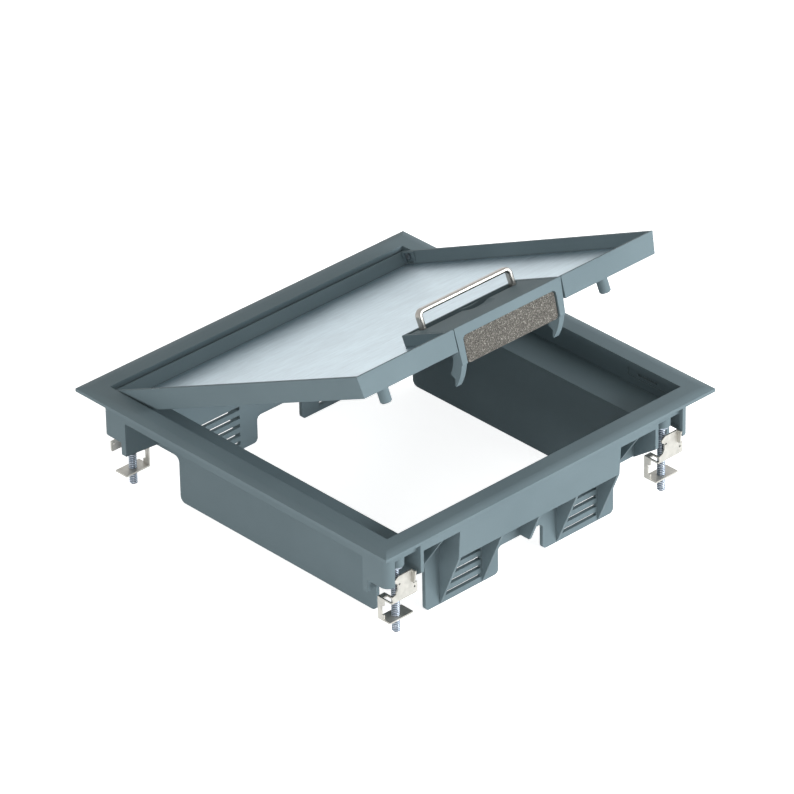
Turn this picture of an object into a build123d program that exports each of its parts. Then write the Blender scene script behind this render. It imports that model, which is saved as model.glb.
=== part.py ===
from build123d import *
import math
import os

# Floor service outlet with a hinged lid, in millimetres.
# The origin is the centre of the floor cut-out, in the plane of the flange's underside.
# +Z is up, +Y is the hinge side and -Y the side where cords leave.
# Lid pieces are drawn with the lid closed, then swung open by LID_OPENING.

# Clearances
RUNNING_GAP = 0.05
SLIDING_GAP = 0.2
SEAM_GAP = 0.4
OVERLAP = 1.0

# Frame: flange and mouth
MOUTH_HALF = 117.6
MOUTH_WALL = 3.9
MOUTH_DEPTH = 11.5
WALL_CORNER_RADIUS = 5.3
LEDGE_THICKNESS = 2.1
FLANGE_OVERHANG = 10.5
FLANGE_HEIGHT = 3.3
FLANGE_EDGE_HEIGHT = 2.0
FLANGE_ROUNDING = 5.9
WALL_HALF = MOUTH_HALF + MOUTH_WALL
FLANGE_HALF = WALL_HALF + FLANGE_OVERHANG
LEDGE_TOP = -MOUTH_DEPTH
LEDGE_BOTTOM = LEDGE_TOP - LEDGE_THICKNESS

# Frame: well
SIDE_LEDGE = 24.5
END_LEDGE = 16.1
WELL_HALF_X = MOUTH_HALF - SIDE_LEDGE
WELL_HALF_Y = MOUTH_HALF - END_LEDGE
WELL_WALL = 2.5
WELL_DEPTH = 70.3
WELL_CORNER_RADIUS = 4.0
WELL_FILLET = 3.0
SIDE_SKIRT_HALF = 84.0
SIDE_SHALLOW_DEPTH = 40.0
END_SHALLOW_DEPTH = 39.3
END_WEB_DEPTH = 52.5
WELL_OUTER_X = WELL_HALF_X + WELL_WALL
WELL_OUTER_Y = WELL_HALF_Y + WELL_WALL

# Frame: louvred tabs, cheeks, ribs and the band in front of them
TAB_CENTRE = 47.0
TAB_WIDTH = 58.0
SLOT_LENGTH = 30.0
SLOT_HEIGHT = 2.5
SLOT_PITCH = 6.0
SLOT_COUNT = 5
SLOT_MARGIN = 3.85
CHEEK_SPACING = 33.6
CHEEK_THICKNESS = 1.8
RIB_THICKNESS = 2.0
BAND_DEPTH = 32.3
BAND_THICKNESS = 2.0
BAND_DRAFT = 1.2
BAND_FOOT_Y = WALL_HALF - BAND_DRAFT
BAND_INNER_Y = BAND_FOOT_Y - BAND_THICKNESS
GUSSET_MARGIN = 2.5
GUSSET_THICKNESS = 1.2

# Frame: corner pockets and screw bosses
POCKET_LIP = 5.9
POCKET_WALL = 2.4
POCKET_DEPTH = 28.0
POCKET_STRIP_DEPTH = 36.0
POCKET_STRIP_WIDTH = 4.0
POCKET_POST_DEPTH = 27.5
SCREW_SETBACK_X = 10.4
SCREW_SETBACK_Y = 5.2
SCREW_X = MOUTH_HALF - SCREW_SETBACK_X
SCREW_Y = MOUTH_HALF - SCREW_SETBACK_Y
POCKET_BACK_WALL = 1.0
BOSS_DEPTH = 20.0
BOSS_WALL = 1.0

# Frame: catch slits in the side walls
CATCH_RECESS_LENGTH = 31.0
CATCH_RECESS_HEIGHT = 5.0
CATCH_RECESS_DEPTH = 0.6
CATCH_SLIT_LENGTH = 16.0
CATCH_SLIT_HEIGHT = 1.5
CATCH_SETBACK = 27.6
CATCH_Y = CATCH_SETBACK - MOUTH_HALF
CATCH_Z = -3.8

# Lid tray and plate
LID_OPENING = 25.0
LID_GAP = 0.6
LID_FRONT_GAP = 0.4
LID_BASE_Z = -10.2
LID_TAPER = 2.0
LID_RIM = 2.0
LID_FLOOR_THICKNESS = 2.2
LID_RIB_HEIGHT = 1.5
LID_RIB_THICKNESS = 1.6
LID_RIB_PITCH = 37.0
LID_CROSS_RIBS = 4
LID_CROSS_RIB_START = -35.0
LID_INNER_RIB_X = 12.0
LID_OUTER_RIB_X = 80.0
PLATE_TOP = -4.4
PLATE_THICKNESS = 1.6
LID_TOP = FLANGE_HEIGHT
LID_HEIGHT = LID_TOP - LID_BASE_Z
LID_HALF = MOUTH_HALF - LID_GAP
LID_FRONT_Y = -(MOUTH_HALF - LID_FRONT_GAP)
FLOOR_TOP = PLATE_TOP - PLATE_THICKNESS
FLOOR_BOTTOM = FLOOR_TOP - LID_FLOOR_THICKNESS

# Lid hinge
HINGE_SETBACK = 8.1
HINGE_Z = 0.3
HINGE_PIN_RADIUS = 2.0
HINGE_PIN_END_WALL = 0.5
HINGE_PAD = 1.2
HINGE_WINDOW_LENGTH = 7.0
HINGE_WINDOW_HEIGHT = 6.0
HINGE_WINDOW_DEPTH = 1.4
HINGE_Y = MOUTH_HALF - HINGE_SETBACK
REAR_TOP_REACH = HINGE_SETBACK - LID_GAP
REAR_HEEL_REACH = HINGE_Z - LEDGE_TOP - 2 * SEAM_GAP

# Lid stop pegs
PEG_MARGIN_X = 6.1
PEG_MARGIN_Y = 5.5
PEG_X = WELL_HALF_X - PEG_MARGIN_X
PEG_Y = PEG_MARGIN_Y - WELL_HALF_Y
PEG_RADIUS = 3.5
PEG_BEVEL = 0.9
PEG_END_Z = -22.7

# Cord outlet flap
HANDLE_SPAN = 71.0
OUTLET_SHOULDER = 6.7
OUTLET_HALF = HANDLE_SPAN / 2 + OUTLET_SHOULDER
OUTLET_WALL = 2.5
OUTLET_REAR_WALL = 2.0
OUTLET_SETBACK = 38.6
OUTLET_PIVOT_Y = OUTLET_SETBACK - MOUTH_HALF
OUTLET_PIVOT_Z = -1.3
OUTLET_PIN_RADIUS = 1.5
OUTLET_PIN_LENGTH = 6.5
OUTLET_PIN_END_WALL = 0.8
OUTLET_BARREL_RADIUS = 3.7
OUTLET_TOP = 2.3
OUTLET_DECK = 3.2
OUTLET_BEAM_DEPTH = 8.5
OUTLET_LIP = 1.5
OUTLET_BASE_Z = -19.1
OUTLET_FACE_SETBACK = 4.3
OUTLET_FACE_THICKNESS = 4.0
OUTLET_BORDER = 6.1
OUTLET_JAMB = 4.0
OUTLET_OPENING_ROUNDING = 2.5
OUTLET_HORN_START = 25.0
OUTLET_HORN_HEEL = 47.5
OUTLET_HORN_DROP = 54.0
OUTLET_HORN_DEPTH = 7.0
OUTLET_HORN_THROAT = 2.8
OUTLET_HORN_TIP = 1.2
OUTLET_HORN_INSET = 0.8
OUTLET_BACK_WALL = 1.8
OUTLET_BACK_DEPTH = 13.0
SCOOP_X = 3.5
SCOOP_Y = OUTLET_PIVOT_Y - 7.0
SCOOP_RADIUS = 34.0
SCOOP_DEPTH = 1.6
FOAM_THICKNESS = 8.0
FOAM_RECESS = 0.6
FOAM_SIDE_GAP = 0.6
FOAM_DEPTH = 16.9
FOAM_ROUNDING = 2.5
OUTLET_GAP_HALF = OUTLET_HALF + SEAM_GAP
OUTLET_GAP_REAR = OUTLET_PIVOT_Y + OUTLET_BARREL_RADIUS + SEAM_GAP
OUTLET_SWEEP = MOUTH_HALF + OUTLET_PIVOT_Y - LID_FRONT_GAP
OUTLET_BEAM_BOTTOM = OUTLET_PIVOT_Z - OUTLET_BARREL_RADIUS
PASSAGE_SIDE_GAP = 1.2
PASSAGE_DEPTH = 24.0

# Lift handle
HANDLE_Y = OUTLET_PIVOT_Y - 2.2
HANDLE_TOP = 14.0
HANDLE_BAR = 3.0
HANDLE_DEPTH = 4.6
HANDLE_BEND = 4.7
HANDLE_ROUNDING = 1.2
HANDLE_TAIL = 2.6
CLIP_THICKNESS = 1.1
CLIP_MARGIN = 1.5

# Clamp screws and their washers
SCREW_RADIUS = 2.5
SCREW_END_Z = -65.0
SCREW_HEAD_RADIUS = 4.25
SCREW_HEAD_HEIGHT = 3.0
SCREW_HEAD_SINK = 0.6
SCREW_DRIVE_WIDTH = 4.0
SCREW_DRIVE_DEPTH = 1.8
SCREW_POINT = 0.8
WASHER_RADIUS = 4.8
WASHER_THICKNESS = 0.9
HEAD_SEAT_Z = LEDGE_TOP - SCREW_HEAD_SINK - SCREW_HEAD_HEIGHT
BOSS_RADIUS = SCREW_HEAD_RADIUS + SLIDING_GAP + BOSS_WALL

# Clamps, drawn about their screw's axis for a front corner
CLAMP_SHEET = 1.0
CLAMP_FOOT_Z = -55.0
CLAMP_FACE_Y = -6.1
CLAMP_LIP_GAP = 0.7
CLAMP_PLATE_LEFT = SCREW_X + CLAMP_LIP_GAP + POCKET_LIP - WALL_HALF
CLAMP_PLATE_RIGHT = SCREW_X - WELL_OUTER_X - SLIDING_GAP
CLAMP_PLATE_TOP = -24.5
CLAMP_PLATE_BOTTOM = -41.0
CLAMP_ARM_X = -8.8
CLAMP_ARM_WIDTH = 5.0
CLAMP_SHELF_WIDTH = 5.5
CLAMP_SHELF_LENGTH = 10.5
CLAMP_FOOT_LENGTH = 18.4
CLAMP_FOOT_WIDTH = 10.0
CLAMP_CLAW_REACH = WALL_HALF - SCREW_Y + CLAMP_FACE_Y
CLAMP_CLAW_HEIGHT = 7.5
CLAMP_FOLD_INSET = 3.2
CLAMP_STEP_DROP = 9.5
CLAMP_TOP_INSET = 4.7
CLAMP_LEFT_EDGE = ((0, 0), (0, 4.2), (2.9, 5.3), (4.4, 8.0), (4.4, 11.4), (2.1, 12.8), (2.1, 14.6))
CLAMP_HOLES = ((5.5, 11.1), (17.1, 4.5))
CLAMP_HOLE_RADIUS = 0.7
CLAMP_SHELF_BORDER = 3.5


def rounded_face(corners):
    """A flat face from (u, v) or (u, v, radius) corners."""
    face = make_face(Polyline(*[corner[:2] for corner in corners], close=True))
    for corner in corners:
        if len(corner) == 3:
            vertex = face.vertices().sort_by_distance((corner[0], corner[1], 0))[0]
            face = fillet(vertex, corner[2])
    return face


def prism_x(corners, x_low, x_high):
    """An outline in (y, z), extruded along X."""
    return Pos(x_low, 0, 0) * extrude(Plane.YZ * rounded_face(corners), x_high - x_low)


def prism_y(corners, y_low, y_high):
    """An outline in (x, z), extruded along Y."""
    return Pos(0, y_high, 0) * extrude(Plane.XZ * rounded_face(corners), y_high - y_low)


def block(x_low, x_high, y_low, y_high, z_low, z_high):
    size = Box(x_high - x_low, y_high - y_low, z_high - z_low)
    return Pos((x_low + x_high) / 2, (y_low + y_high) / 2, (z_low + z_high) / 2) * size


def rod_z(radius, z_low, z_high):
    return Pos(0, 0, (z_low + z_high) / 2) * Cylinder(radius, z_high - z_low)


def rod_x(radius, x_low, x_high, y, z):
    return Pos((x_low + x_high) / 2, y, z) * Rot(0, 90, 0) * Cylinder(radius, x_high - x_low)


def both_sides(shape):
    """The shape and its mirror image across the plane x = 0."""
    return shape + mirror(shape, Plane.YZ)


def both_ends(shape):
    """The shape and its mirror image across the plane y = 0."""
    return shape + mirror(shape, Plane.XZ)


def flange_slab():
    """The trim flange, flat on top and rounded down to its outer edge."""
    flat = FLANGE_HALF - FLANGE_ROUNDING
    edges = [
        Line((-FLANGE_HALF, 0), (-FLANGE_HALF, FLANGE_EDGE_HEIGHT)),
        TangentArc((-flat, FLANGE_HEIGHT), (-FLANGE_HALF, FLANGE_EDGE_HEIGHT), tangent=(-1, 0)),
        Line((-flat, FLANGE_HEIGHT), (flat, FLANGE_HEIGHT)),
        TangentArc((flat, FLANGE_HEIGHT), (FLANGE_HALF, FLANGE_EDGE_HEIGHT), tangent=(1, 0)),
        Line((FLANGE_HALF, FLANGE_EDGE_HEIGHT), (FLANGE_HALF, 0)),
        Line((FLANGE_HALF, 0), (-FLANGE_HALF, 0)),
    ]
    section = make_face(Curve() + edges)
    along_x = extrude(Plane.YZ * section, FLANGE_HALF, both=True)
    along_y = extrude(Plane.XZ * section, FLANGE_HALF, both=True)
    return along_x & along_y


def wall_envelope(z_low, z_high):
    """The rounded square prism that all outer walls stay inside."""
    outline = RectangleRounded(2 * WALL_HALF, 2 * WALL_HALF, WALL_CORNER_RADIUS)
    return Pos(0, 0, z_low) * extrude(outline, z_high - z_low)


def well_side_wall():
    """One long side wall of the well, with its ends as the corner pockets' inner posts."""
    half = [
        (WALL_HALF, LEDGE_TOP),
        (WALL_HALF, -POCKET_POST_DEPTH),
        (WELL_OUTER_Y, -SIDE_SHALLOW_DEPTH),
        (SIDE_SKIRT_HALF, -SIDE_SHALLOW_DEPTH, WELL_CORNER_RADIUS),
        (SIDE_SKIRT_HALF, -WELL_DEPTH, WELL_CORNER_RADIUS),
    ]
    return prism_x(mirrored_outline(half), WELL_HALF_X, WELL_OUTER_X)


def mirrored_outline(half):
    """A closed outline from its half at u > 0 and that half's mirror image."""
    return half + [(-corner[0],) + corner[1:] for corner in reversed(half)]


def well_end_wall():
    """One end wall of the well, with two louvred tabs and a shallower web between them."""
    inner = TAB_CENTRE - TAB_WIDTH / 2
    outer = TAB_CENTRE + TAB_WIDTH / 2
    half = [
        (WELL_OUTER_X, LEDGE_TOP),
        (WELL_OUTER_X, -END_SHALLOW_DEPTH),
        (outer, -END_SHALLOW_DEPTH, WELL_FILLET),
        (outer, -WELL_DEPTH, WELL_FILLET),
        (inner, -WELL_DEPTH, WELL_FILLET),
        (inner, -END_WEB_DEPTH, WELL_FILLET),
    ]
    return prism_y(mirrored_outline(half), -WELL_OUTER_Y, -WELL_HALF_Y)


def louvre_slots():
    """The slots of one end wall, level with each other in both tabs."""
    slots = Part()
    for level in range(SLOT_COUNT):
        base = -WELL_DEPTH + SLOT_MARGIN + level * SLOT_PITCH
        slots += block(TAB_CENTRE - SLOT_LENGTH / 2, TAB_CENTRE + SLOT_LENGTH / 2,
                       -WELL_OUTER_Y - OVERLAP, -WELL_HALF_Y + OVERLAP, base, base + SLOT_HEIGHT)
    return both_sides(slots)


def buttress(x_centre, thickness, depth):
    """A slanted plate between the band and an end wall, cut off level at its depth."""
    slope = (BAND_FOOT_Y - WELL_OUTER_Y) / (WELL_DEPTH - BAND_DEPTH)
    root = -WELL_HALF_Y - WELL_WALL / 2
    tip = -BAND_FOOT_Y + slope * (depth - BAND_DEPTH)
    outline = [(root, LEDGE_BOTTOM + OVERLAP), (-BAND_FOOT_Y, LEDGE_BOTTOM + OVERLAP),
               (-BAND_FOOT_Y, -BAND_DEPTH), (tip, -depth), (root, -depth)]
    return prism_x(outline, x_centre - thickness / 2, x_centre + thickness / 2)


def end_band():
    """The drafted band under the flange that joins the tops of the buttresses."""
    outline = [(-WALL_HALF, LEDGE_BOTTOM + OVERLAP), (-BAND_FOOT_Y, -BAND_DEPTH),
               (-BAND_INNER_Y, -BAND_DEPTH), (-BAND_INNER_Y, LEDGE_BOTTOM + OVERLAP)]
    half = TAB_CENTRE + CHEEK_SPACING / 2 + CHEEK_THICKNESS / 2
    return prism_x(outline, -half, half)


def corner_gusset():
    """The thin slanted web between a tab and a corner pocket, on the +X side."""
    centre = TAB_CENTRE + TAB_WIDTH / 2 + GUSSET_MARGIN
    root = -WELL_HALF_Y - WELL_WALL / 2
    outline = [(-WALL_HALF, LEDGE_BOTTOM + OVERLAP), (-WALL_HALF, LEDGE_BOTTOM),
               (-WELL_OUTER_Y, -END_SHALLOW_DEPTH), (root, -END_SHALLOW_DEPTH),
               (root, LEDGE_BOTTOM + OVERLAP)]
    return prism_x(outline, centre - GUSSET_THICKNESS / 2, centre + GUSSET_THICKNESS / 2)


def end_structure():
    """One end wall with its tabs, cheeks, centre rib, gussets and band."""
    shape = well_end_wall() + end_band()
    for side in (-1, 1):
        for offset in (-CHEEK_SPACING / 2, CHEEK_SPACING / 2):
            shape += buttress(side * TAB_CENTRE + offset, CHEEK_THICKNESS, WELL_DEPTH)
    shape += buttress(0, RIB_THICKNESS, END_WEB_DEPTH - OVERLAP) + both_sides(corner_gusset())
    return shape - louvre_slots()


def corner_pocket():
    """The walls round the clamp in the front left corner, with the screw's boss."""
    top = LEDGE_BOTTOM + OVERLAP
    rear = -WELL_HALF_Y + WELL_WALL / 5
    side = [(-WALL_HALF, top), (rear, top), (rear, -POCKET_STRIP_DEPTH),
            (rear - POCKET_STRIP_WIDTH, -POCKET_STRIP_DEPTH),
            (rear - POCKET_STRIP_WIDTH, -POCKET_DEPTH), (-WALL_HALF, -POCKET_DEPTH)]
    end = [(-WALL_HALF, top), (-WELL_HALF_X - WELL_WALL / 2, top),
           (-WELL_HALF_X - WELL_WALL / 2, -POCKET_STRIP_DEPTH - LEDGE_THICKNESS),
           (-WALL_HALF, -POCKET_STRIP_DEPTH)]
    walls = prism_x(side, -WALL_HALF, -WALL_HALF + POCKET_WALL)
    walls += block(-WALL_HALF, -WALL_HALF + POCKET_LIP, -WALL_HALF, -WALL_HALF + POCKET_WALL,
                   -POCKET_DEPTH, top)
    walls += prism_y(end, rear - POCKET_WALL, rear)
    walls += Pos(-SCREW_X, -SCREW_Y, 0) * rod_z(BOSS_RADIUS, -BOSS_DEPTH, top)
    return walls & wall_envelope(-WELL_DEPTH, 0)


def pocket_recess():
    """The space above the front left clamp, up to the flange and back to a thin wall."""
    return block(-WALL_HALF + POCKET_LIP, -WELL_OUTER_X, -WALL_HALF - OVERLAP,
                 -MOUTH_HALF - POCKET_BACK_WALL, LEDGE_BOTTOM - OVERLAP, 0)


def screw_hole():
    """The counterbored hole for one screw, on the screw's own axis."""
    bore = rod_z(SCREW_RADIUS + SLIDING_GAP, -BOSS_DEPTH - OVERLAP, LEDGE_TOP + OVERLAP)
    sink = rod_z(SCREW_HEAD_RADIUS + SLIDING_GAP, HEAD_SEAT_Z - RUNNING_GAP, LEDGE_TOP + OVERLAP)
    return bore + sink


def catch_slit():
    """The shallow recess and through slit in one side of the mouth."""
    half_recess = CATCH_RECESS_LENGTH / 2
    half_slit = CATCH_SLIT_LENGTH / 2
    recess = block(MOUTH_HALF - OVERLAP, MOUTH_HALF + CATCH_RECESS_DEPTH,
                   CATCH_Y - half_recess, CATCH_Y + half_recess,
                   CATCH_Z - CATCH_RECESS_HEIGHT / 2, CATCH_Z + CATCH_RECESS_HEIGHT / 2)
    slit = block(MOUTH_HALF - OVERLAP, WALL_HALF + OVERLAP,
                 CATCH_Y - half_slit, CATCH_Y + half_slit,
                 CATCH_Z - CATCH_SLIT_HEIGHT / 2, CATCH_Z + CATCH_SLIT_HEIGHT / 2)
    return recess + slit


def cord_passage():
    """The way for cords over the front wall, with arc slots for the outlet's horns."""
    half = OUTLET_GAP_HALF + PASSAGE_SIDE_GAP
    way = block(-half, half, -BAND_INNER_Y, -WELL_HALF_Y + OVERLAP, -PASSAGE_DEPTH,
                LEDGE_TOP + OVERLAP)
    horn_inner = OUTLET_HALF - OUTLET_JAMB - OUTLET_LIP - SEAM_GAP
    horn_outer = OUTLET_HALF - OUTLET_LIP + SEAM_GAP
    return way + both_sides(rod_x(OUTLET_SWEEP + SLIDING_GAP, horn_inner, horn_outer,
                                  OUTLET_PIVOT_Y, OUTLET_PIVOT_Z))


def frame():
    shape = flange_slab() + wall_envelope(LEDGE_BOTTOM, 0)
    shape -= block(-MOUTH_HALF, MOUTH_HALF, -MOUTH_HALF, MOUTH_HALF, LEDGE_TOP,
                   FLANGE_HEIGHT + OVERLAP)
    shape += both_sides(well_side_wall())
    shape += both_ends(end_structure())
    shape += both_sides(both_ends(corner_pocket()))
    shape -= both_sides(both_ends(pocket_recess()))
    shape -= block(-WELL_HALF_X, WELL_HALF_X, -WELL_HALF_Y, WELL_HALF_Y, -WELL_DEPTH - OVERLAP,
                   FLANGE_HEIGHT + OVERLAP)
    shape -= cord_passage()
    shape -= both_sides(catch_slit())
    shape -= both_sides(hinge_pin(HINGE_PIN_RADIUS))
    for x, y in screw_places().values():
        shape -= Pos(x, y, 0) * screw_hole()
    return shape


def hinge_pin(radius):
    """The hinge pin of the +X side, from the frame's wall into the lid."""
    inner = LID_HALF - LID_RIM - HINGE_PAD + HINGE_WINDOW_DEPTH - OVERLAP
    return rod_x(radius, inner, WALL_HALF - HINGE_PIN_END_WALL, HINGE_Y, HINGE_Z)


def lid_edge(z):
    """How far the lid's outer faces are drawn in at height z."""
    return LID_TAPER * (LID_TOP - z) / LID_HEIGHT


def rear_edge(z):
    """The y of the lid's rear face at height z, on the line that clears the frame."""
    top = HINGE_Y + math.sqrt(REAR_TOP_REACH ** 2 - (LID_TOP - HINGE_Z) ** 2)
    heel = HINGE_Y + math.sqrt(REAR_HEEL_REACH ** 2 - (HINGE_Z - LID_BASE_Z) ** 2)
    return top + (heel - top) * (LID_TOP - z) / LID_HEIGHT


def lid_block(inset, z_low, z_high):
    """The lid's tapered outer form between two heights, drawn in by an inset."""
    across = []
    along = []
    for z in (z_low, z_high):
        half = LID_HALF - lid_edge(z) - inset
        across.append(((-half, z), (half, z)))
        along.append(((LID_FRONT_Y + lid_edge(z) + inset, z), (rear_edge(z) - inset, z)))
    spans = [[low[0], low[1], high[1], high[0]] for low, high in (across, along)]
    wide = prism_y(spans[0], LID_FRONT_Y - OVERLAP, MOUTH_HALF)
    deep = prism_x(spans[1], -MOUTH_HALF, MOUTH_HALF)
    return wide & deep


def lid_ribs():
    """The grid of stiffening ribs under the lid's floor."""
    low = FLOOR_BOTTOM - LID_RIB_HEIGHT
    high = FLOOR_BOTTOM + LID_FLOOR_THICKNESS / 2
    half = LID_RIB_THICKNESS / 2
    end = LID_HALF - LID_TAPER - LID_RIM / 2
    wall = OUTLET_GAP_HALF + OUTLET_WALL
    ribs = Part()
    for x in (LID_INNER_RIB_X, wall - half, LID_OUTER_RIB_X):
        front = LID_FRONT_Y + LID_TAPER + LID_RIM / 2 if x > wall else OUTLET_GAP_REAR
        ribs += both_sides(block(x - half, x + half, front, HINGE_Y, low, high))
    for place in range(LID_CROSS_RIBS):
        y = LID_CROSS_RIB_START + place * LID_RIB_PITCH
        ribs += block(-end, end, y - half, y + half, low, high)
    return ribs


def outlet_surround():
    """The walls round the gap in the lid where the cord outlet sits."""
    outer = OUTLET_GAP_HALF + OUTLET_WALL
    front = LID_FRONT_Y + LID_TAPER
    walls = block(-outer, outer, front, OUTLET_GAP_REAR + OUTLET_REAR_WALL, FLOOR_BOTTOM, OUTLET_TOP)
    return walls


def outlet_gap():
    return block(-OUTLET_GAP_HALF, OUTLET_GAP_HALF, LID_FRONT_Y - OVERLAP, OUTLET_GAP_REAR,
                 LID_BASE_Z - OVERLAP, LID_TOP + OVERLAP)


def hinge_pad():
    """The thick place in the tray's +X rim round the hinge pin."""
    outer = LID_HALF - LID_RIM / 2 - LID_TAPER / 2
    inner = LID_HALF - LID_RIM - HINGE_PAD
    return block(inner, outer, HINGE_Y - HINGE_WINDOW_LENGTH, HINGE_Y + HINGE_PIN_RADIUS + LID_RIM,
                 PLATE_TOP + SLIDING_GAP, LID_TOP - SLIDING_GAP)


def hinge_window():
    """The dark window in the pad through which the pin's end shows."""
    inner = LID_HALF - LID_RIM - HINGE_PAD
    return block(inner - OVERLAP, inner + HINGE_WINDOW_DEPTH,
                 HINGE_Y + HINGE_PIN_RADIUS - HINGE_WINDOW_LENGTH, HINGE_Y + HINGE_PIN_RADIUS,
                 HINGE_Z + HINGE_PIN_RADIUS - HINGE_WINDOW_HEIGHT, HINGE_Z + HINGE_PIN_RADIUS)


def lid_tray():
    shape = lid_block(0, LID_BASE_Z, LID_TOP)
    shape -= lid_block(LID_RIM, FLOOR_TOP, LID_TOP + OVERLAP)
    shape -= lid_block(LID_RIM, LID_BASE_Z - OVERLAP, FLOOR_BOTTOM)
    shape += lid_ribs() + outlet_surround() + both_sides(hinge_pad())
    shape -= outlet_gap()
    shape -= both_sides(hinge_window())
    shape -= both_sides(hinge_pin(HINGE_PIN_RADIUS + RUNNING_GAP))
    return shape - outlet_pivots(OUTLET_PIN_RADIUS)


def lid_plate():
    half = LID_HALF - lid_edge(FLOOR_TOP) - LID_RIM - SLIDING_GAP
    front = LID_FRONT_Y + lid_edge(FLOOR_TOP) + LID_RIM + SLIDING_GAP
    rear = rear_edge(FLOOR_TOP) - LID_RIM - SLIDING_GAP
    notch = OUTLET_GAP_HALF + OUTLET_WALL + SLIDING_GAP
    notch_rear = OUTLET_GAP_REAR + OUTLET_REAR_WALL + SLIDING_GAP
    sheet = block(-half, half, front, rear, FLOOR_TOP, PLATE_TOP)
    return sheet - block(-notch, notch, front - OVERLAP, notch_rear, FLOOR_TOP - OVERLAP,
                         PLATE_TOP + OVERLAP)


def stop_peg():
    peg = rod_z(PEG_RADIUS, PEG_END_Z, FLOOR_BOTTOM)
    peg = chamfer(peg.edges().sort_by(Axis.Z)[0], PEG_BEVEL)
    return Pos(PEG_X, PEG_Y, 0) * peg


def outlet_pivots(radius):
    """The outlet's two pivot pins, or with a larger radius their bores."""
    outer = OUTLET_GAP_HALF + OUTLET_WALL - OUTLET_PIN_END_WALL
    return both_sides(rod_x(radius, outer - OUTLET_PIN_LENGTH, outer, OUTLET_PIVOT_Y,
                            OUTLET_PIVOT_Z))


def face_y(z):
    """The y of the outlet's slanted front face at height z."""
    return LID_FRONT_Y + OUTLET_FACE_SETBACK * (LID_TOP - z) / (LID_TOP - OUTLET_BASE_Z)


def outlet_front():
    """The border and posts round the foam, drawn in towards their foot like the lid."""
    inner = OUTLET_HALF - OUTLET_JAMB - OUTLET_LIP
    rear = face_y(OUTLET_BASE_Z) + OUTLET_FACE_THICKNESS
    side = [(LID_FRONT_Y, LID_TOP), (LID_FRONT_Y + OUTLET_LIP, LID_TOP),
            (LID_FRONT_Y + OUTLET_FACE_THICKNESS, OUTLET_TOP), (rear, OUTLET_BASE_Z),
            (face_y(OUTLET_BASE_Z), OUTLET_BASE_Z)]
    half = [(OUTLET_HALF, LID_TOP), (OUTLET_HALF - OUTLET_LIP, OUTLET_BASE_Z), (inner, OUTLET_BASE_Z),
            (inner, LID_TOP - OUTLET_BORDER, OUTLET_OPENING_ROUNDING)]
    arch = prism_y(mirrored_outline(half), LID_FRONT_Y, rear)
    return prism_x(side, -OUTLET_HALF, OUTLET_HALF) & arch


def outlet_horn():
    """The curved guide below a post, an arc about the pivot that narrows to its tip."""

    def about_pivot(drop, depth):
        reach = OUTLET_SWEEP - OUTLET_HORN_INSET - depth
        angle = math.radians(drop)
        return (OUTLET_PIVOT_Y - reach * math.cos(angle), OUTLET_PIVOT_Z - reach * math.sin(angle))

    start = about_pivot(OUTLET_HORN_START, 0)
    tip = about_pivot(OUTLET_HORN_DROP, 0)
    tip_rear = about_pivot(OUTLET_HORN_DROP, OUTLET_HORN_TIP)
    throat = about_pivot(OUTLET_HORN_HEEL, OUTLET_HORN_THROAT)
    heel = about_pivot(OUTLET_HORN_HEEL, OUTLET_HORN_DEPTH)
    rear = about_pivot(OUTLET_HORN_START, OUTLET_HORN_DEPTH)
    root = about_pivot(OUTLET_HORN_START / 2, OUTLET_HORN_DEPTH / 2)
    edges = [
        ThreePointArc(start, about_pivot((OUTLET_HORN_START + OUTLET_HORN_DROP) / 2, 0), tip),
        Line(tip, tip_rear),
        Line(tip_rear, throat),
        Line(throat, heel),
        ThreePointArc(heel, about_pivot((OUTLET_HORN_START + OUTLET_HORN_HEEL) / 2,
                                        OUTLET_HORN_DEPTH), rear),
        Line(rear, root),
        Line(root, start),
    ]
    inner = OUTLET_HALF - OUTLET_JAMB - OUTLET_LIP
    return Pos(inner, 0, 0) * extrude(Plane.YZ * make_face(Curve() + edges), OUTLET_JAMB)


def outlet_back_wall():
    """The wall that the foam is glued to."""
    top = OUTLET_TOP - OUTLET_DECK / 2
    base = LID_TOP - OUTLET_BORDER - OUTLET_BACK_DEPTH
    behind = FOAM_RECESS + FOAM_THICKNESS
    half = OUTLET_HALF - OUTLET_JAMB - OUTLET_LIP
    outline = [(face_y(top) + behind, top), (face_y(base) + behind, base),
               (face_y(base) + behind + OUTLET_BACK_WALL, base),
               (face_y(top) + behind + OUTLET_BACK_WALL, top)]
    return prism_x(outline, -half - OUTLET_JAMB / 2, half + OUTLET_JAMB / 2)


def handle_slots():
    """The groove for the handle's bar, and the holes for its legs with room for the bends."""
    half = HANDLE_SPAN / 2 + HANDLE_BAR / 2 + SLIDING_GAP
    leg_inner = half - HANDLE_BAR - 2 * SLIDING_GAP
    bend = HANDLE_BEND - HANDLE_BAR
    floor = OUTLET_TOP - HANDLE_BAR - SLIDING_GAP
    y_low = HANDLE_Y - HANDLE_DEPTH / 2 - SLIDING_GAP
    y_high = HANDLE_Y + HANDLE_DEPTH / 2 + SLIDING_GAP
    groove = block(-half, half, y_low, y_high, floor, OUTLET_TOP + 2 * OVERLAP)
    relief = block(leg_inner - bend, half, y_low, y_high, floor - bend, OUTLET_TOP)
    leg = block(leg_inner, half, y_low, y_high, OUTLET_BEAM_BOTTOM - OVERLAP, OUTLET_TOP)
    return groove + both_sides(relief + leg)


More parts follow.
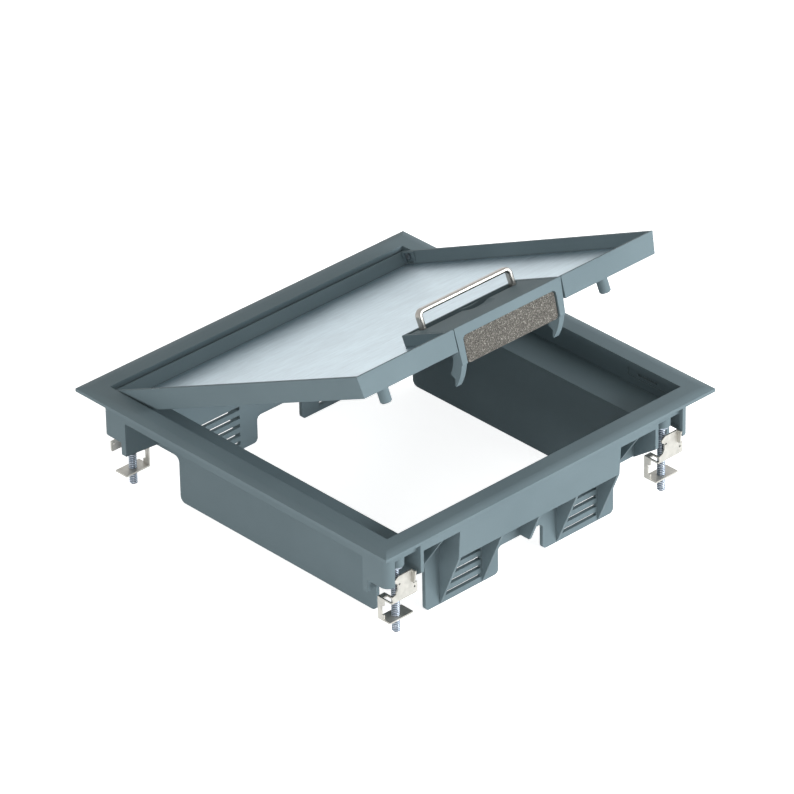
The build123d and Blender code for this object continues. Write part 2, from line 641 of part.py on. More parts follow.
def cord_outlet():
    top_low = OUTLET_TOP - OUTLET_DECK
    front = LID_FRONT_Y + OUTLET_FACE_THICKNESS
    shape = block(-OUTLET_HALF, OUTLET_HALF, front, OUTLET_PIVOT_Y, top_low, OUTLET_TOP)
    shape += block(-OUTLET_HALF, OUTLET_HALF, OUTLET_PIVOT_Y - OUTLET_BEAM_DEPTH, OUTLET_PIVOT_Y,
                   OUTLET_BEAM_BOTTOM, OUTLET_TOP)
    shape += rod_x(OUTLET_BARREL_RADIUS, -OUTLET_HALF, OUTLET_HALF, OUTLET_PIVOT_Y, OUTLET_PIVOT_Z)
    shape += outlet_front() + outlet_back_wall() + both_sides(outlet_horn())
    shape -= Pos(SCOOP_X, SCOOP_Y, OUTLET_TOP + SCOOP_RADIUS - SCOOP_DEPTH) * Sphere(SCOOP_RADIUS)
    shape -= handle_slots()
    return shape - outlet_pivots(OUTLET_PIN_RADIUS + RUNNING_GAP)


def outlet_foam():
    top = LID_TOP - OUTLET_BORDER
    base = top - FOAM_DEPTH
    half = OUTLET_HALF - OUTLET_JAMB - OUTLET_LIP - FOAM_SIDE_GAP
    outline = [(face_y(top) + FOAM_RECESS, top), (face_y(base) + FOAM_RECESS, base),
               (face_y(base) + FOAM_RECESS + FOAM_THICKNESS, base),
               (face_y(top) + FOAM_RECESS + FOAM_THICKNESS, top)]
    front = mirrored_outline([(half, top, FOAM_ROUNDING), (half, base, FOAM_ROUNDING)])
    return prism_x(outline, -half, half) & prism_y(front, LID_FRONT_Y, OUTLET_PIVOT_Y)


def lift_handle():
    """The bail: a flat rod bent to a bracket, with rounded long edges."""
    outer = HANDLE_SPAN / 2 + HANDLE_BAR / 2
    inner = HANDLE_SPAN / 2 - HANDLE_BAR / 2
    low = OUTLET_BEAM_BOTTOM - HANDLE_TAIL
    outside = [(-outer, low), (-outer, HANDLE_TOP, HANDLE_BEND), (outer, HANDLE_TOP, HANDLE_BEND),
               (outer, low)]
    under = HANDLE_TOP - HANDLE_BAR
    inside = [(-inner, low - OVERLAP), (-inner, under, HANDLE_BEND - HANDLE_BAR),
              (inner, under, HANDLE_BEND - HANDLE_BAR), (inner, low - OVERLAP)]
    y_low = HANDLE_Y - HANDLE_DEPTH / 2
    y_high = HANDLE_Y + HANDLE_DEPTH / 2
    bail = prism_y(outside, y_low, y_high) - prism_y(inside, y_low - OVERLAP, y_high + OVERLAP)
    rims = bail.edges().filter_by(Plane.XZ).filter_by(lambda edge: edge.center().Z > low + OVERLAP)
    return fillet(rims, HANDLE_ROUNDING)


def handle_clip():
    """The push-on clip on the +X leg, just under the outlet's beam."""
    x_half = HANDLE_BAR / 2 + CLIP_MARGIN
    y_half = HANDLE_DEPTH / 2 + CLIP_MARGIN
    x = HANDLE_SPAN / 2
    high = OUTLET_BEAM_BOTTOM - SLIDING_GAP
    low = high - CLIP_THICKNESS
    sheet = block(x - x_half, x + x_half, HANDLE_Y - y_half, HANDLE_Y + y_half, low, high)
    return sheet - lift_handle()


def screw():
    """A headed screw on its own axis, with a hexagon socket."""
    head_top = HEAD_SEAT_Z + SCREW_HEAD_HEIGHT
    shank = rod_z(SCREW_RADIUS, SCREW_END_Z, HEAD_SEAT_Z + SCREW_HEAD_HEIGHT / 2)
    shank = chamfer(shank.edges().sort_by(Axis.Z)[0], SCREW_POINT)
    socket = RegularPolygon(SCREW_DRIVE_WIDTH / 2, 6, major_radius=False)
    socket = Pos(0, 0, head_top - SCREW_DRIVE_DEPTH) * extrude(socket, SCREW_DRIVE_DEPTH + OVERLAP)
    return shank + rod_z(SCREW_HEAD_RADIUS, HEAD_SEAT_Z, head_top) - socket


def screw_washer():
    """The push-on washer that keeps a screw in its boss."""
    high = -BOSS_DEPTH - SLIDING_GAP
    low = high - WASHER_THICKNESS
    return rod_z(WASHER_RADIUS, low, high) - rod_z(SCREW_RADIUS, low - OVERLAP, high + OVERLAP)


def clamp_plate():
    """The upright plate, with a notched left edge, a step at the claw and two pilot holes."""
    left, right = CLAMP_PLATE_LEFT, CLAMP_PLATE_RIGHT
    low, top = CLAMP_PLATE_BOTTOM, CLAMP_PLATE_TOP
    fold = right - CLAMP_FOLD_INSET
    outline = [(left + across, low + up) for across, up in CLAMP_LEFT_EDGE]
    outline += [(left + CLAMP_TOP_INSET, top), (fold, top), (fold, top - CLAMP_STEP_DROP),
                (right, top - CLAMP_STEP_DROP), (right, low, CLAMP_SHEET)]
    plate = prism_y(outline, CLAMP_FACE_Y, CLAMP_FACE_Y + CLAMP_SHEET)
    for across, up in CLAMP_HOLES:
        plate -= (Pos(left + across, CLAMP_FACE_Y, low + up) * Rot(90, 0, 0)
                  * Cylinder(CLAMP_HOLE_RADIUS, 4 * CLAMP_SHEET))
    return plate


def clamp_claw():
    """The tapered tab that is folded forwards from the plate to grip the floor's edge."""
    fold = CLAMP_PLATE_RIGHT - CLAMP_FOLD_INSET
    root = CLAMP_FACE_Y + CLAMP_SHEET / 2
    tip = CLAMP_FACE_Y - CLAMP_CLAW_REACH
    top = CLAMP_PLATE_TOP
    outline = [(root, top), (tip, top), (tip + CLAMP_SHEET, top - CLAMP_CLAW_HEIGHT),
               (root, top - CLAMP_CLAW_HEIGHT - CLAMP_SHEET)]
    return prism_x(outline, fold - CLAMP_SHEET, fold)


def clamp():
    """A bent sheet clamp round its screw: plate, claw, shelf, arm and foot."""
    inside_y = CLAMP_FACE_Y + CLAMP_SHEET
    rear_y = inside_y + CLAMP_SHELF_LENGTH
    shelf_top = CLAMP_PLATE_BOTTOM + CLAMP_SHEET
    shelf = block(CLAMP_ARM_X, CLAMP_ARM_X + CLAMP_SHELF_WIDTH, CLAMP_FACE_Y, rear_y,
                  CLAMP_PLATE_BOTTOM, shelf_top)
    window = block(CLAMP_ARM_X + CLAMP_SHEET, CLAMP_ARM_X + CLAMP_SHELF_WIDTH - CLAMP_SHEET,
                   inside_y, rear_y - CLAMP_SHELF_BORDER,
                   CLAMP_PLATE_BOTTOM - OVERLAP, shelf_top + OVERLAP)
    arm = block(CLAMP_ARM_X, CLAMP_ARM_X + CLAMP_SHEET, rear_y - CLAMP_ARM_WIDTH, rear_y,
                CLAMP_FOOT_Z, shelf_top)
    middle = (CLAMP_FOOT_Z + CLAMP_PLATE_BOTTOM) / 2
    arm -= block(CLAMP_ARM_X - OVERLAP, CLAMP_ARM_X + CLAMP_SHEET + OVERLAP,
                 rear_y - CLAMP_ARM_WIDTH - OVERLAP, rear_y - CLAMP_ARM_WIDTH + 2 * CLAMP_SHEET,
                 middle - 3 * CLAMP_SHEET, middle + 3 * CLAMP_SHEET)
    foot = block(CLAMP_ARM_X, CLAMP_ARM_X + CLAMP_FOOT_LENGTH, rear_y - CLAMP_FOOT_WIDTH, rear_y,
                 CLAMP_FOOT_Z, CLAMP_FOOT_Z + CLAMP_SHEET)
    thread = rod_z(SCREW_RADIUS + RUNNING_GAP, CLAMP_FOOT_Z - OVERLAP, CLAMP_FOOT_Z + 2 * OVERLAP)
    return clamp_plate() + clamp_claw() + (shelf - window) + arm + (foot - thread)


def screw_places():
    """The corner names and the screws' places."""
    return {"fl": (-SCREW_X, -SCREW_Y), "fr": (SCREW_X, -SCREW_Y),
            "rl": (-SCREW_X, SCREW_Y), "rr": (SCREW_X, SCREW_Y)}


def opened(shape):
    """Swing a piece of the closed lid to the stored opening."""
    axis = Pos(0, HINGE_Y, HINGE_Z)
    return axis * Rot(-LID_OPENING, 0, 0) * axis.inverse() * shape


def write(node, shape):
    export_step(shape, os.path.join("parts", node + ".step"))


def main():
    os.makedirs("parts", exist_ok=True)
    write("frame", frame())
    write("lid_hinge_pins", both_sides(hinge_pin(HINGE_PIN_RADIUS)))
    write("lid_tray", opened(lid_tray()))
    write("lid_plate", opened(lid_plate()))
    write("lid_stop_pegs", opened(both_sides(stop_peg())))
    write("outlet_pivot_pins", opened(outlet_pivots(OUTLET_PIN_RADIUS)))
    write("cord_outlet", opened(cord_outlet()))
    write("outlet_foam", opened(outlet_foam()))
    write("lift_handle", opened(lift_handle()))
    write("handle_clips", opened(both_sides(handle_clip())))
    for corner, (x, y) in screw_places().items():
        turn = 0 if y < 0 else 180
        write("screw_" + corner, Pos(x, y, 0) * screw())
        write("screw_washer_" + corner, Pos(x, y, 0) * screw_washer())
        write("clamp_" + corner, Pos(x, y, 0) * Rot(0, 0, turn) * clamp())


main()
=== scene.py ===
import math

import bmesh
import bpy
from mathutils import Matrix, Vector, noise


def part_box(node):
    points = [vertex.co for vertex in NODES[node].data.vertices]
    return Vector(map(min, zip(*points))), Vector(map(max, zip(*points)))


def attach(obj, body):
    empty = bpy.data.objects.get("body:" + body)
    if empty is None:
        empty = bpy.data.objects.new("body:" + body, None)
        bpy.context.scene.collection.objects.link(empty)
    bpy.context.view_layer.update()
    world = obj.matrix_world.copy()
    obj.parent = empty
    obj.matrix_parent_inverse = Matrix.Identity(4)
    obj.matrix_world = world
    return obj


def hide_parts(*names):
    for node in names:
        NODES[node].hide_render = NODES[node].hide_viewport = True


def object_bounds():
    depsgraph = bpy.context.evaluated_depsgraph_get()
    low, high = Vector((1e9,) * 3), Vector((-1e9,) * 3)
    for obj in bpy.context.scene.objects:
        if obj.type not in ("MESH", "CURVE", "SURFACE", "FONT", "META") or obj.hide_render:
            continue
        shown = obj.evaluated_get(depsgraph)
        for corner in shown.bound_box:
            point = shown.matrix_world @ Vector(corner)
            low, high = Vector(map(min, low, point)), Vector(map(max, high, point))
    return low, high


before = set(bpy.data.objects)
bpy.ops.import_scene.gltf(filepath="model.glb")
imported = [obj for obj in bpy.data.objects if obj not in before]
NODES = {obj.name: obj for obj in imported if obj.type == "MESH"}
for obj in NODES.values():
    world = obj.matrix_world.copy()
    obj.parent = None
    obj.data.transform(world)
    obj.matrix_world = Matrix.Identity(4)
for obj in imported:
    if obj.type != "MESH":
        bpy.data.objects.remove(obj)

CAD_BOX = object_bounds()

# Camera, worked out from the flange's corners in the photograph
CAMERA_AZIMUTH = math.radians(-42.966)
CAMERA_ELEVATION = math.radians(30.995)
CAMERA_ROLL = math.radians(-1.033)
CAMERA_DISTANCE = 3.636056
CAMERA_LENS = 282.73
CAMERA_SENSOR = 36.0
CAMERA_CLIP_END = 50.0
AIM_RIGHT = 0.001142
AIM_UP = -0.003264

# Colours, linear
PLASTIC = (0.150, 0.198, 0.219)
PLASTIC_LIGHT = (0.172, 0.224, 0.246)
STEEL = (0.53, 0.64, 0.70)
STEEL_DARK = (0.41, 0.50, 0.555)
FOAM_MID = (0.115, 0.108, 0.097)
FOAM_DARK = (0.026, 0.024, 0.022)
FOAM_PALE = (0.44, 0.415, 0.38)
NICKEL = (0.57, 0.555, 0.515)
NICKEL_DULL = (0.47, 0.46, 0.425)
BAIL = (0.40, 0.385, 0.36)
BAIL_DULL = (0.34, 0.325, 0.30)
ZINC = (0.36, 0.42, 0.50)
ZINC_PALE = (0.58, 0.63, 0.70)
# Painted shade for the screw thread's roots, not a colour of the zinc
THREAD_ROOT_SHADE = (0.035, 0.045, 0.06)
PIN_GREY = (0.30, 0.31, 0.32)
WHITE = (1.0, 1.0, 1.0, 1.0)

# Moulded plastic: roughness from and to, specular level, and the softened edges
FRAME_ROUGHNESS = (0.50, 0.61)
FRAME_GLOSS = 0.14
LID_ROUGHNESS = (0.51, 0.62)
LID_GLOSS = 0.05
EDGE_RADIUS = 0.0004
EDGE_SAMPLES = 4

# Lights and floor
FLOOR_SIZE = 6.0
FLOOR_DROP = 0.0002
FLOOR_COLOUR = 0.86
FLOOR_GLOW = 0.85
FLOOR_ROUGHNESS = 0.9
SKY_COLOUR = (0.99, 1.0, 0.98, 1.0)
SKY_ZENITH = 0.46
SKY_HORIZON = 0.80
SKY_FADE = 0.6
KEY_WATTS = 43.0
KEY_PLACE = (0.9, -1.8, 0.65)
KEY_TARGET = (0, 0, 0)
KEY_SIZE = (1.6, 0.5)
KEY_COLOUR = (0.95, 0.985, 1.0)
SIDE_WATTS = 11.0
SIDE_PLACE = (-1.6, -0.45, -0.03)
SIDE_TARGET = (0, 0, -0.04)
SIDE_SIZE = (1.4, 0.12)
SIDE_COLOUR = (0.97, 0.99, 1.0)

# Screw: thread and tip
RING_STEPS = 28
THREAD_PITCH = 0.00125
THREAD_DEPTH = 0.00055
THREAD_FLANK = 1.35
RINGS_PER_TURN = 8
THREAD_RUNOUT = 0.001
TIP_CHAMFER = 0.0009
TIP_CHAMFER_RISE = 0.6
DEPTH_LAYER = "thread_depth"

# Screw: head and socket, as drops below the top with insets or widenings
HEAD_HEIGHT = 0.003
HEAD_FOOT_CHAMFER = 0.0002
HEAD_CROWN = ((0.0006, 0.0), (0.0002, 0.0003), (0.0, 0.0009))
HEAD_MARGIN = 0.0005
SOCKET_RADIUS = 0.00225
SOCKET_STEPS = ((0.0, 0.0002), (0.0003, 0.0), (0.0018, 0.0))
SHARP_ANGLE = math.radians(38)

# Foam pad: voxel, smoothing, and the pits in its skin
FOAM_VOXEL = 0.00055
FOAM_SMOOTHING = 0.5
FOAM_SMOOTH_PASSES = 3
FOAM_PIT_SCALE = 1400.0
FOAM_GRAIN_SCALE = 3100.0
FOAM_GRAIN_SHARE = 0.6
FOAM_PIT_DEPTH = 0.00009
FOAM_SKIN_INSET = 0.00012

# Sockets of the colour mix node, which have no names of their own
MIX_FIRST = 6
MIX_SECOND = 7
MIX_RESULT = 2

CORNERS = ("fl", "fr", "rl", "rr")


def make_camera():
    """A camera at the photograph's viewing angle."""
    sin_a, cos_a = math.sin(CAMERA_AZIMUTH), math.cos(CAMERA_AZIMUTH)
    sin_e, cos_e = math.sin(CAMERA_ELEVATION), math.cos(CAMERA_ELEVATION)
    back = Vector((sin_a * cos_e, -cos_a * cos_e, sin_e))
    right = Vector((cos_a, sin_a, 0.0))
    up = back.cross(right)
    aim = right * AIM_RIGHT + up * AIM_UP
    across = right * math.cos(CAMERA_ROLL) + up * math.sin(CAMERA_ROLL)
    upward = up * math.cos(CAMERA_ROLL) - right * math.sin(CAMERA_ROLL)
    data = bpy.data.cameras.new("camera")
    data.sensor_width = CAMERA_SENSOR
    data.lens = CAMERA_LENS
    data.clip_end = CAMERA_CLIP_END
    camera = bpy.data.objects.new("camera", data)
    bpy.context.scene.collection.objects.link(camera)
    turn = Matrix((across, upward, back)).transposed().to_4x4()
    camera.matrix_world = Matrix.Translation(aim + back * CAMERA_DISTANCE) @ turn
    bpy.context.scene.camera = camera


class Shader:
    """A small helper that adds and joins the nodes of one material."""

    def __init__(self, name):
        self.material = bpy.data.materials.new(name)
        self.material.use_nodes = True
        self.tree = self.material.node_tree
        self.surface = self.tree.nodes["Principled BSDF"]

    def add(self, kind, inputs=None, **settings):
        """A new node with its settings made and its inputs joined or filled."""
        node = self.tree.nodes.new("ShaderNode" + kind)
        for key, value in settings.items():
            setattr(node, key, value)
        for key, value in (inputs or {}).items():
            self.put(node, key, value)
        return node

    def put(self, node, key, value):
        """Join an input to another node's output, or give it a plain value."""
        if isinstance(value, bpy.types.NodeSocket):
            self.tree.links.new(value, node.inputs[key])
        else:
            node.inputs[key].default_value = value

    def set(self, **values):
        """Put values on the surface shader's own sockets."""
        for key, value in values.items():
            self.put(self.surface, key.replace("_", " "), value)

    def place(self, scale=(1, 1, 1), turn=(0, 0, 0)):
        """Object coordinates, turned and scaled."""
        coordinates = self.add("TexCoord").outputs["Object"]
        return self.add("Mapping", {"Vector": coordinates, "Scale": scale, "Rotation": turn}).outputs[0]

    def noise(self, scale=1.0, detail=4.0, roughness=0.5, at=None):
        """Cloudy noise from 0 to 1, at the object's coordinates unless others are given."""
        at = at or self.place()
        inputs = {"Vector": at, "Scale": scale, "Detail": detail, "Roughness": roughness}
        return self.add("TexNoise", inputs).outputs[0]

    def combine(self, operation, first, second):
        """One sum, product or like result of two values."""
        return self.add("Math", {0: first, 1: second}, operation=operation).outputs[0]

    def mean(self, *factors):
        """The mean of several factors."""
        total = factors[0]
        for factor in factors[1:]:
            total = self.combine("ADD", total, factor)
        return self.combine("MULTIPLY", total, 1 / len(factors))

    def spread(self, factor, low, high):
        """Map a factor from 0..1 to low..high."""
        return self.add("MapRange", {"Value": factor, "To Min": low, "To Max": high}).outputs[0]

    def ramp(self, factor, *stops):
        """Colours along a factor, as pairs of position and colour."""
        node = self.add("ValToRGB", {"Fac": factor})
        elements = node.color_ramp.elements
        while len(elements) < len(stops):
            elements.new(0.5)
        for element, (position, colour) in zip(elements, stops):
            element.position = position
            element.color = (*colour, 1.0)
        return node.outputs[0]

    def bump(self, height, strength, distance, normal=None):
        """A normal tilted by a height, on top of another normal where one is given."""
        inputs = {"Height": height, "Strength": strength, "Distance": distance}
        if normal is not None:
            inputs["Normal"] = normal
        return self.add("Bump", inputs).outputs[0]


def moulded_plastic(name, roughness, gloss):
    """Moulded plastic: a fine grain, faint flow clouds and softened edges."""
    s = Shader(name)
    clouds = s.noise(scale=16.0, detail=3.0)
    grain = s.noise(scale=2600.0, detail=2.0, roughness=0.6)
    s.set(Base_Color=s.ramp(clouds, (0.3, PLASTIC), (0.7, PLASTIC_LIGHT)))
    s.set(Roughness=s.spread(s.noise(scale=60.0), *roughness))
    soft_edge = s.add("Bevel", {"Radius": EDGE_RADIUS}, samples=EDGE_SAMPLES).outputs[0]
    s.set(Normal=s.bump(grain, strength=0.10, distance=0.0002, normal=soft_edge))
    s.set(Specular_IOR_Level=gloss)
    return s.material


def brushed_plate():
    """The bright infill sheet, brushed along its width with faint handling clouds."""
    s = Shader("brushed_plate")
    turn = (math.radians(-lid_tilt()), 0, 0)
    streaks = s.noise(detail=6.0, roughness=0.66, at=s.place((120.0, 800.0, 120.0), turn))
    long_streaks = s.noise(detail=5.0, roughness=0.66, at=s.place((45.0, 260.0, 45.0), turn))
    clouds = s.noise(scale=26.0, detail=5.0, roughness=0.6)
    factor = s.mean(streaks, long_streaks, clouds)
    s.set(Base_Color=s.ramp(factor, (0.40, STEEL_DARK), (0.58, STEEL)))
    s.set(Metallic=1.0)
    s.set(Roughness=s.spread(factor, low=0.26, high=0.40))
    s.set(Normal=s.bump(streaks, strength=0.18, distance=0.0003))
    return s.material


def plated_sheet():
    """Nickel-plated sheet steel with dull patches and faint rolling lines."""
    s = Shader("nickel_sheet")
    patches = s.noise(scale=220.0, detail=5.0)
    s.set(Base_Color=s.ramp(patches, (0.35, NICKEL_DULL), (0.65, NICKEL)))
    s.set(Metallic=0.85)
    s.set(Roughness=s.spread(patches, low=0.38, high=0.54))
    rolled = s.noise(detail=3.0, at=s.place((300.0, 300.0, 3000.0)))
    s.set(Normal=s.bump(rolled, strength=0.12, distance=0.0002))
    return s.material


def zinc_bloom(s):
    """Patches of pale bloom on blue zinc plating, as a factor and as its colours."""
    bloom = s.noise(scale=500.0)
    return bloom, s.ramp(bloom, (0.35, ZINC), (0.7, ZINC_PALE))


def zinc_steel():
    """Blue zinc plating with a pale bloom."""
    s = Shader("blue_zinc")
    bloom, colours = zinc_bloom(s)
    s.set(Base_Color=colours)
    s.set(Metallic=0.9)
    s.set(Roughness=s.spread(bloom, low=0.24, high=0.4))
    s.set(Normal=s.bump(bloom, strength=0.1, distance=0.0001))
    return s.material


def threaded_zinc():
    """The screws' zinc, with painted shade darkening the thread's roots."""
    s = Shader("threaded_zinc")
    crest = zinc_bloom(s)[1]
    # Painted shade: the colour darkens towards the root colour as the thread deepens
    root = (*THREAD_ROOT_SHADE, 1.0)
    depth = s.add("Attribute", attribute_name=DEPTH_LAYER).outputs["Fac"]
    mix = s.add("Mix", {"Factor": depth, MIX_FIRST: crest, MIX_SECOND: root}, data_type="RGBA")
    s.set(Base_Color=mix.outputs[MIX_RESULT])
    s.set(Metallic=0.9)
    s.set(Roughness=s.spread(depth, low=0.28, high=0.6))
    return s.material


def polished_bail():
    """Drawn stainless rod: nearly polished, with fine drawing lines along it."""
    s = Shader("drawn_stainless")
    lines = s.noise(at=s.place((80.0, 2600.0, 2600.0)))
    s.set(Base_Color=s.ramp(lines, (0.3, BAIL_DULL), (0.7, BAIL)))
    s.set(Metallic=1.0)
    s.set(Roughness=s.spread(lines, low=0.26, high=0.36))
    s.set(Normal=s.bump(lines, strength=0.03, distance=0.0001))
    return s.material


def plain_pin():
    """Plain steel, rubbed bright in patches."""
    s = Shader("pin_steel")
    worn = s.noise(scale=700.0, detail=3.0)
    s.set(Base_Color=s.ramp(worn, (0.4, PIN_GREY), (0.7, ZINC_PALE)))
    s.set(Metallic=0.9)
    s.set(Roughness=s.spread(worn, low=0.3, high=0.45))
    return s.material


def speckled_foam():
    """Open-cell foam in taupe, with dark pores and pale flecks."""
    s = Shader("speckled_foam")
    cells = s.add("TexVoronoi", {"Vector": s.place(), "Scale": 950.0}).outputs["Distance"]
    fine = s.noise(scale=2300.0, detail=3.0, roughness=0.7)
    coarse = s.noise(scale=1250.0, detail=2.0, roughness=0.6)
    speckle = s.mean(fine, coarse)
    pores, flecks = (0.37, FOAM_DARK), (0.63, FOAM_PALE)
    s.set(Base_Color=s.ramp(speckle, pores, (0.46, FOAM_MID), (0.54, FOAM_MID), flecks))
    s.set(Roughness=s.spread(cells, low=0.85, high=0.98))
    s.set(Normal=s.bump(cells, strength=0.6, distance=0.0005))
    s.set(Specular_IOR_Level=0.15)
    return s.material


def finish_node(name, material):
    """Give one CAD node its material."""
    node = NODES[name]
    node.data.materials.clear()
    node.data.materials.append(material)


def link_piece(name, mesh, body, material):
    """A new piece that rides on a body and takes its finish from a slot."""
    piece = bpy.data.objects.new(name, mesh)
    bpy.context.scene.collection.objects.link(piece)
    mesh.materials.clear()
    mesh.materials.append(material)
    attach(piece, body)
    return piece


def lid_tilt():
    """The lid's stored opening in degrees, from its own plate's slope."""
    top = max(NODES["lid_plate"].data.polygons, key=lambda face: face.area)
    normal = top.normal if top.normal.z > 0 else -top.normal
    return math.degrees(math.atan2(normal.y, normal.z))


def circle(radius):
    """The radius of a circle at each angle."""
    return lambda angle: radius


def hexagon(radius):
    """The radius of a hexagon at each angle, from its corners' radius."""
    def at(angle):
        sector = (angle + math.pi / 6) % (math.pi / 3) - math.pi / 6
        return radius * math.cos(math.pi / 6) / math.cos(sector)
    return at


def thread(z, radius):
    """The radius of a right-hand thread at each angle, at one height."""
    def at(angle):
        turn = (z / THREAD_PITCH - angle / (2 * math.pi)) % 1.0
        crest = 1 - abs(2 * turn - 1)
        return radius - THREAD_DEPTH * (1 - min(1.0, THREAD_FLANK * crest))
    return at


def screw_profile(low, high, radius, head_radius, thread_top):
    """The screw from its tip to its socket's floor, as heights and the radius round each."""
    head_base = high.z - HEAD_HEIGHT
    neck = circle(radius - THREAD_DEPTH / 2)
    profile = [(low.z, circle(radius - TIP_CHAMFER))]
    height = low.z + TIP_CHAMFER * TIP_CHAMFER_RISE
    while height < thread_top:
        profile.append((height, thread(height, radius)))
        height += THREAD_PITCH / RINGS_PER_TURN
    profile.append((thread_top, neck))
    profile.append((head_base, neck))
    profile.append((head_base, circle(head_radius - HEAD_FOOT_CHAMFER)))
    profile.append((head_base + HEAD_FOOT_CHAMFER, circle(head_radius)))
    for drop, inset in HEAD_CROWN:
        profile.append((high.z - drop, circle(head_radius - inset)))
    for drop, widening in SOCKET_STEPS:
        profile.append((high.z - drop, hexagon(SOCKET_RADIUS + widening)))
    return profile


def ring(bm, centre, z, radius_at):
    """A closed ring of vertices at one height."""
    points = []
    for k in range(RING_STEPS):
        angle = 2 * math.pi * k / RING_STEPS
        r = radius_at(angle)
        points.append(bm.verts.new((centre.x + r * math.cos(angle), centre.y + r * math.sin(angle), z)))
    return points


def bridge(bm, lower, upper):
    """A band of faces between two rings."""
    count = len(lower)
    for k in range(count):
        after = (k + 1) % count
        bm.faces.new((lower[k], lower[after], upper[after], upper[k]))


def turned_mesh(name, centre, profile):
    """A closed mesh of rings joined in turn, with a face at each end."""
    mesh = bpy.data.meshes.new(name)
    bm = bmesh.new()
    rings = [ring(bm, centre, z, radius_at) for z, radius_at in profile]
    for lower, upper in zip(rings, rings[1:]):
        bridge(bm, lower, upper)
    bm.faces.new(list(reversed(rings[0])))
    bm.faces.new(rings[-1])
    bmesh.ops.recalc_face_normals(bm, faces=bm.faces)
    bm.to_mesh(mesh)
    bm.free()
    return mesh


def mark_depth(mesh, centre, radius, top):
    """How deep in the thread each vertex lies, from 0 on a crest to 1 in a root."""
    layer = mesh.attributes.new(DEPTH_LAYER, "FLOAT", "POINT")
    for vertex, mark in zip(mesh.vertices, layer.data):
        place = vertex.co - centre
        inside = radius - math.hypot(place.x, place.y)
        mark.value = max(0.0, min(1.0, inside / THREAD_DEPTH)) if vertex.co.z < top else 0.0


def shank_radius(node, centre, head_base):
    """The radius of a screw's shank, read from the vertices below its head."""
    radii = []
    for vertex in NODES[node].data.vertices:
        if vertex.co.z < head_base - HEAD_MARGIN:
            radii.append(math.hypot(vertex.co.x - centre.x, vertex.co.y - centre.y))
    return max(radii)


def threaded_screw(corner, material):
    """A screw with a real helical thread, a head with a hexagon socket and a chamfered tip."""
    node = "screw_" + corner
    name = "threaded_screw_" + corner
    low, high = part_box(node)
    washer_low, washer_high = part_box("screw_washer_" + corner)
    centre = (washer_low + washer_high) / 2
    head_base = high.z - HEAD_HEIGHT
    radius = shank_radius(node, centre, head_base)
    head_radius = (high.x - low.x) / 2
    thread_top = washer_low.z - THREAD_RUNOUT
    mesh = turned_mesh(name, centre, screw_profile(low, high, radius, head_radius, thread_top))
    mark_depth(mesh, centre, radius, head_base)
    mesh.shade_smooth()
    mesh.set_sharp_from_angle(angle=SHARP_ANGLE)
    piece = link_piece(name, mesh, node, material)
    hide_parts(node)


def rounded_by_voxels(pad):
    """The pad's mesh, remeshed finely and with its edges smoothed."""
    remesh = pad.modifiers.new("remesh", "REMESH")
    remesh.mode = "VOXEL"
    remesh.voxel_size = FOAM_VOXEL
    smooth = pad.modifiers.new("smooth", "SMOOTH")
    smooth.factor = FOAM_SMOOTHING
    smooth.iterations = FOAM_SMOOTH_PASSES
    depsgraph = bpy.context.evaluated_depsgraph_get()
    mesh = bpy.data.meshes.new_from_object(pad.evaluated_get(depsgraph))
    pad.modifiers.clear()
    return mesh


def pit_skin(mesh):
    """Sink the skin a little and pit it with two sizes of noise."""
    normals = [vertex.normal.copy() for vertex in mesh.vertices]
    for vertex, normal in zip(mesh.vertices, normals):
        pit = noise.noise(vertex.co * FOAM_PIT_SCALE)
        pit += FOAM_GRAIN_SHARE * noise.noise(vertex.co * FOAM_GRAIN_SCALE)
        vertex.co += normal * (FOAM_PIT_DEPTH * pit - FOAM_SKIN_INSET)


def foam_pad(material):
    """The foam pad: its CAD block remeshed finely, its edges softened and its skin pitted."""
    pad = link_piece("foam_pad", NODES["outlet_foam"].data.copy(), "outlet", material)
    pad.data = rounded_by_voxels(pad)
    pad.data.name = "foam_pad"
    pit_skin(pad.data)
    pad.data.shade_smooth()
    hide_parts("outlet_foam")


def area_light(name, position, target, size, watts, colour):
    """A rectangular lamp that faces a target."""
    data = bpy.data.lights.new(name, "AREA")
    data.shape = "RECTANGLE"
    data.size = size[0]
    data.size_y = size[1]
    data.energy = watts
    data.color = colour
    lamp = bpy.data.objects.new(name, data)
    bpy.context.scene.collection.objects.link(lamp)
    lamp.location = position
    lamp.rotation_euler = (Vector(target) - Vector(position)).to_track_quat("-Z", "Y").to_euler()


def make_lights():
    """A soft lamp at the right and a low one at the left."""
    area_light("key", KEY_PLACE, KEY_TARGET, KEY_SIZE, KEY_WATTS, KEY_COLOUR)
    area_light("side", SIDE_PLACE, SIDE_TARGET, SIDE_SIZE, SIDE_WATTS, SIDE_COLOUR)


def seen_directly(tree):
    """1 for rays from the camera, and for those that metal mirrors or glass lets through."""
    paths = tree.nodes.new("ShaderNodeLightPath")
    total = paths.outputs["Is Camera Ray"]
    for kind in ("Is Glossy Ray", "Is Transmission Ray"):
        either = tree.nodes.new("ShaderNodeMath")
        either.operation = "MAXIMUM"
        tree.links.new(total, either.inputs[0])
        tree.links.new(paths.outputs[kind], either.inputs[1])
        total = either.outputs[0]
    return total


def seen_or_lit(tree, background, lighting):
    """A background that the camera and mirrors see as white, and that lights plainly."""
    mix = tree.nodes.new("ShaderNodeMixShader")
    tree.links.new(seen_directly(tree), mix.inputs[0])
    tree.links.new(lighting, mix.inputs[1])
    tree.links.new(background, mix.inputs[2])
    return mix.outputs[0]


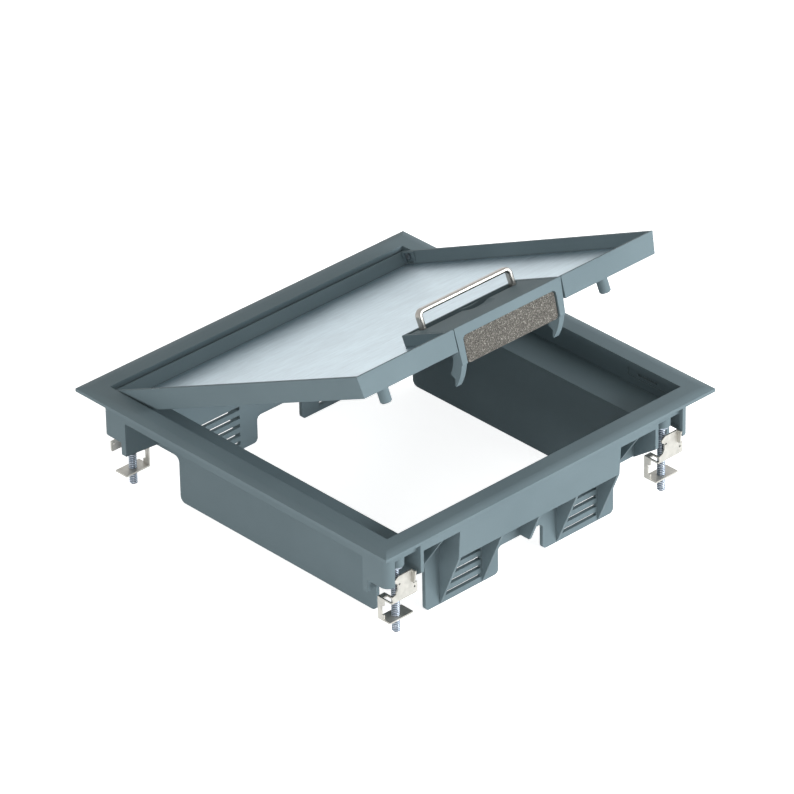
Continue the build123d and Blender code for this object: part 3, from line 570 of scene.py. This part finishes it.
def make_world():
    """A white surround that lights the object from a sky brighter at the horizon."""
    world = bpy.data.worlds.new("studio")
    bpy.context.scene.world = world
    world.use_nodes = True
    tree = world.node_tree
    light = tree.nodes["Background"]
    light.inputs["Color"].default_value = SKY_COLOUR
    height = tree.nodes.new("ShaderNodeSeparateXYZ")
    fade = tree.nodes.new("ShaderNodeMapRange")
    fade.inputs["From Max"].default_value = SKY_FADE
    fade.inputs["To Min"].default_value = SKY_HORIZON
    fade.inputs["To Max"].default_value = SKY_ZENITH
    tree.links.new(tree.nodes.new("ShaderNodeTexCoord").outputs["Generated"], height.inputs[0])
    tree.links.new(height.outputs["Z"], fade.inputs["Value"])
    tree.links.new(fade.outputs[0], light.inputs["Strength"])
    white = tree.nodes.new("ShaderNodeBackground")
    white.inputs["Color"].default_value = WHITE
    result = seen_or_lit(tree, white.outputs[0], light.outputs[0])
    tree.links.new(result, tree.nodes["World Output"].inputs["Surface"])


def make_floor():
    """A pale floor that the camera sees as white and that keeps the object's shadow."""
    mesh = bpy.data.meshes.new("studio_floor")
    half = FLOOR_SIZE / 2
    base = CAD_BOX[0][2] - FLOOR_DROP
    corners = [(-half, -half, base), (half, -half, base), (half, half, base), (-half, half, base)]
    mesh.from_pydata(corners, [], [(0, 1, 2, 3)])
    floor = bpy.data.objects.new("studio_floor", mesh)
    bpy.context.scene.collection.objects.link(floor)
    s = Shader("floor_paper")
    s.set(Base_Color=(FLOOR_COLOUR, FLOOR_COLOUR, FLOOR_COLOUR, 1.0), Roughness=FLOOR_ROUGHNESS)
    s.set(Specular_IOR_Level=0.0)
    s.set(Emission_Color=WHITE)
    s.set(Emission_Strength=s.combine("MULTIPLY", seen_directly(s.tree), FLOOR_GLOW))
    mesh.materials.append(s.material)


def finish_parts():
    """Give each CAD node its material, and the screws and the foam their finer pieces."""
    finish_node("frame", moulded_plastic("frame_plastic", FRAME_ROUGHNESS, FRAME_GLOSS))
    lid_plastic = moulded_plastic("lid_plastic", LID_ROUGHNESS, LID_GLOSS)
    for name in ("lid_tray", "lid_stop_pegs", "cord_outlet"):
        finish_node(name, lid_plastic)
    finish_node("lid_plate", brushed_plate())
    finish_node("lift_handle", polished_bail())
    pins = plain_pin()
    for name in ("lid_hinge_pins", "outlet_pivot_pins", "handle_clips"):
        finish_node(name, pins)
    nickel, zinc, threads = plated_sheet(), zinc_steel(), threaded_zinc()
    for corner in CORNERS:
        finish_node("clamp_" + corner, nickel)
        finish_node("screw_washer_" + corner, zinc)
        threaded_screw(corner, threads)
    foam_pad(speckled_foam())


bpy.context.scene.view_settings.view_transform = "Standard"
make_camera()
make_world()
make_lights()
make_floor()
finish_parts()
